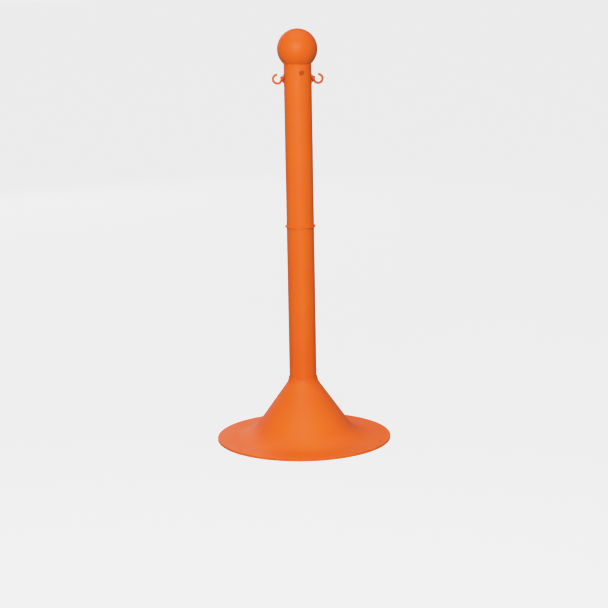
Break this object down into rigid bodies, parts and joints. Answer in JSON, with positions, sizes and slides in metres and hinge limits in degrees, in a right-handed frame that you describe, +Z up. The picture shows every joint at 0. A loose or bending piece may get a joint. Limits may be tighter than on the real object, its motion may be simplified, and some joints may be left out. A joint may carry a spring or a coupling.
{
  "type": "plastic chain stanchion",
  "caption": "Free-standing plastic post on a trumpet-shaped base, with a ball top and open side hooks that carry a barrier chain.",
  "frame": {"origin": "centre of the base's rim, on the floor", "axes": "+Z up along the post; the chain hooks stand out along -X and +X; the front is -Y"},
  "size_m": [0.412, 0.4118, 0.9683],
  "materials": {
    "base_plastic": "moulded orange plastic, satin, fine grain",
    "tray_plastic": "moulded orange plastic, matt",
    "rivet_plastic": "moulded orange plastic, satin",
    "black_plastic": "moulded black plastic, matt",
    "tube_plastic": "extruded orange plastic, satin, faint draw lines",
    "coupler_plastic": "moulded orange plastic, satin",
    "ball_plastic": "moulded orange plastic, soft gloss",
    "hook_plastic": "moulded orange plastic, satin"
  },
  "bodies": {
    "base": {"base_cone": "base_plastic", "base_tray": "tray_plastic", "rim_rivets": "rivet_plastic"},
    "fill_plug": {"fill_plug": "black_plastic"},
    "lower_post": {"lower_tube": "tube_plastic", "post_foot": "black_plastic", "post_coupler": "coupler_plastic"},
    "upper_post": {"upper_tube": "tube_plastic", "post_rivets": "rivet_plastic"},
    "ball_top": {"ball_top": "ball_plastic"},
    "hook_left": {"hook_left": "hook_plastic"},
    "hook_right": {"hook_right": "hook_plastic"}
  },
  "joints": [
    {"name": "post_lift", "type": "slide", "parent": "base", "child": "lower_post", "axis": [0, 0, 1], "range_m": [0, 0.12]},
    {"name": "upper_lift", "type": "slide", "parent": "lower_post", "child": "upper_post", "axis": [0, 0, 1], "range_m": [0, 0.09]},
    {"name": "top_lift", "type": "slide", "parent": "upper_post", "child": "ball_top", "axis": [0, 0, 1], "range_m": [0, 0.06]},
    {"name": "hook_left_turn", "type": "hinge", "parent": "upper_post", "child": "hook_left", "pos_m": [-0.03, 0, 0.8535], "axis": [-1, 0, 0], "continuous": true},
    {"name": "hook_right_turn", "type": "hinge", "parent": "upper_post", "child": "hook_right", "pos_m": [0.03, 0, 0.8535], "axis": [1, 0, 0], "continuous": true},
    {"name": "fill_plug_pull", "type": "slide", "parent": "base", "child": "fill_plug", "axis": [0, 0, -1], "range_m": [0, 0.03]}
  ]
}
